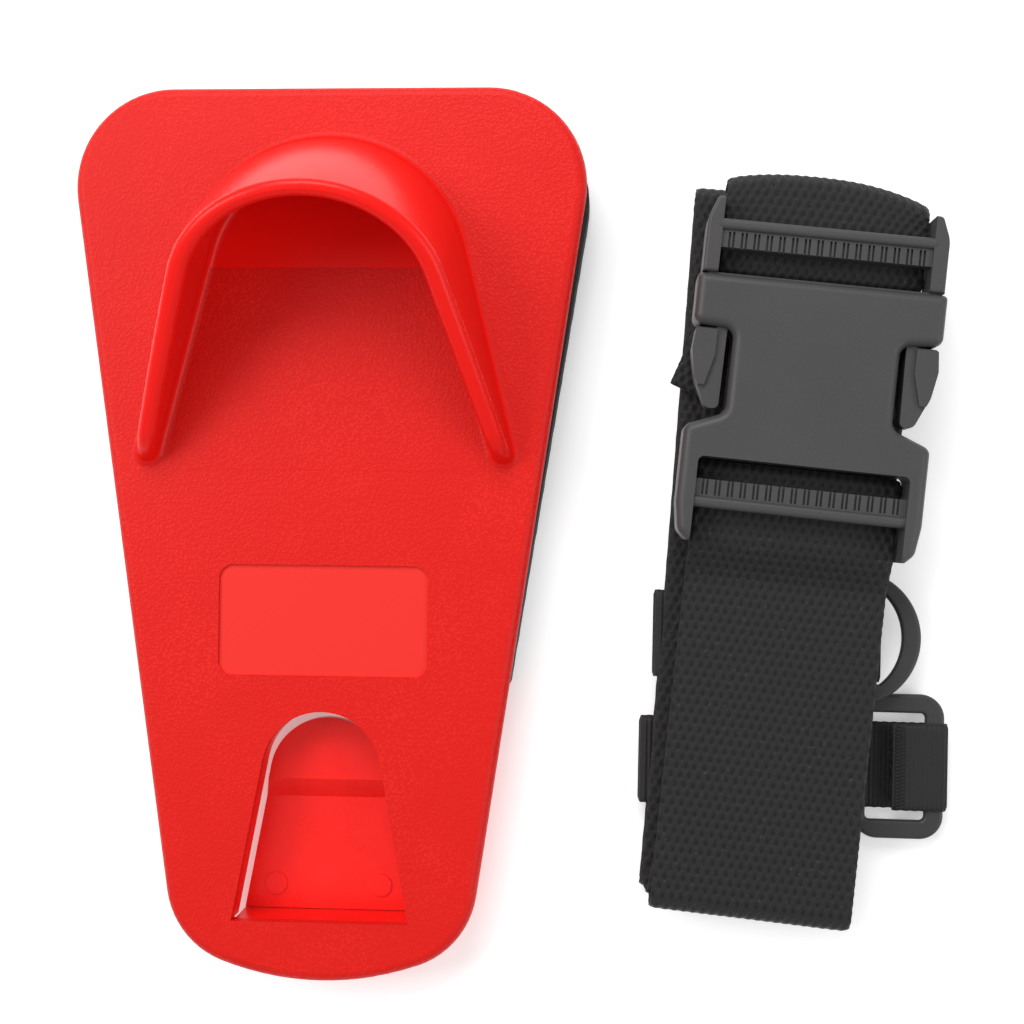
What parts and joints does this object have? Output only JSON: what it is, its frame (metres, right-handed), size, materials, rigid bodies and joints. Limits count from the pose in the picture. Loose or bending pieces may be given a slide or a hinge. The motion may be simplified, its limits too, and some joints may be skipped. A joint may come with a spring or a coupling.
{
  "type": "rod butt waist plate with belt",
  "caption": "Moulded waist plate with a hooded rod-butt cup and belt clip, foam pad behind it, lying beside its folded webbing belt with buckle and rings.",
  "frame": {"origin": "point under the middle of the plate's length on the flat back of the foam pad, which is the table plane", "axes": "+Z out of the plate's front face, +Y along the plate's centreline towards its wide end, +X towards the folded belt"},
  "size_m": [0.2234, 0.226, 0.0551],
  "materials": {
    "plate_plastic": "fine leather grain, glossy inside and outside the cup",
    "glue": "thin adhesive film",
    "pad_foam": "closed-cell foam, cut edges",
    "webbing": "coarse woven webbing",
    "buckle_plastic": "fine mould texture",
    "tape": "ribbed tape",
    "ring_plastic": "smooth moulded"
  },
  "bodies": {
    "plate": {"moulded_plate": "plate_plastic", "pad_glue_film": "glue", "back_pad": "pad_foam"},
    "clip_tongue": {"belt_clip_tongue": "plate_plastic"},
    "belt": {"waist_webbing": "webbing", "buckle_socket": "buckle_plastic", "buckle_plug": "buckle_plastic"},
    "prong_left": {"plug_prong_left": "buckle_plastic"},
    "prong_right": {"plug_prong_right": "buckle_plastic"},
    "d_keeper": {"d_ring_keeper": "tape"},
    "d_ring": {"d_ring": "ring_plastic"},
    "square_keeper": {"square_ring_keeper": "tape"},
    "square_ring": {"square_ring": "ring_plastic"}
  },
  "joints": [
    {"name": "belt_lift", "type": "slide", "parent": "plate", "child": "belt", "axis": [0, 0, 1], "range_m": [0, 0.08]},
    {"name": "tongue_flex", "type": "hinge", "parent": "plate", "child": "clip_tongue", "pos_m": [0, -0.098, 0.00125], "axis": [-1, 0, 0], "range_deg": [0, 5], "stiffness_Nm_per_rad": 1.5},
    {"name": "prong_left_squeeze", "type": "hinge", "parent": "belt", "child": "prong_left", "pos_m": [0.09941, 0.05834, 0.02225], "axis": [0, 0, 1], "range_deg": [0, 11], "stiffness_Nm_per_rad": 0.3},
    {"name": "prong_right_squeeze", "type": "hinge", "parent": "belt", "child": "prong_right", "pos_m": [0.1444, 0.05393, 0.02225], "axis": [0, 0, -1], "range_deg": [0, 11], "stiffness_Nm_per_rad": 0.3},
    {"name": "d_keeper_slide", "type": "slide", "parent": "belt", "child": "d_keeper", "axis": [0.0976, 0.9952, 0], "range_m": [-0.002, 0.012]},
    {"name": "d_ring_swing", "type": "hinge", "parent": "d_keeper", "child": "d_ring", "pos_m": [0.13806, -0.02513, 0.00765], "axis": [-0.0105, -0.9999, 0], "range_deg": [0, 45]},
    {"name": "square_keeper_slide", "type": "slide", "parent": "belt", "child": "square_keeper", "axis": [-0.0976, -0.9952, 0], "range_m": [-0.002, 0.012]},
    {"name": "square_ring_swing", "type": "hinge", "parent": "square_keeper", "child": "square_ring", "pos_m": [0.15448, -0.05778, 0.00395], "axis": [0.0105, 0.9999, 0], "range_deg": [0, 4]}
  ]
}
